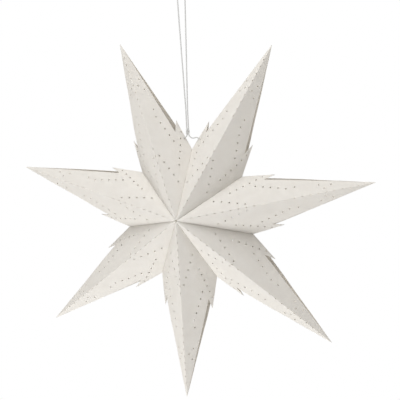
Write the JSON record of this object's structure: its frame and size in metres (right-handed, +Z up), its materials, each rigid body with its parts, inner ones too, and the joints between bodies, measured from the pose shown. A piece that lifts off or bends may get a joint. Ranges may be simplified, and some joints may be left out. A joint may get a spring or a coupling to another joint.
{
  "type": "hanging paper star",
  "caption": "Large folded paper star with pierced panels, slit side edges with small barbs, and a knotted cord loop at its top seam.",
  "frame": {"origin": "top of the cord's loop, where the star hangs", "axes": "+Z up along the hanging cord, -Y towards the front of the star, +X to the right seen from the front"},
  "size_m": [0.5807, 0.1546, 0.6678],
  "materials": {
    "paper": "matt uncoated paper, warm off-white, small round perforations",
    "cord": "twisted cotton cord, off-white"
  },
  "bodies": {
    "root": {"star_point_1": "paper", "star_point_2": "paper", "star_point_3": "paper", "star_point_4": "paper", "star_point_5": "paper", "star_point_6": "paper", "star_point_7": "paper", "hanging_cord": "cord", "loop_knot": "cord", "left_stopper": "cord", "right_stopper": "cord"}
  },
  "joints": []
}
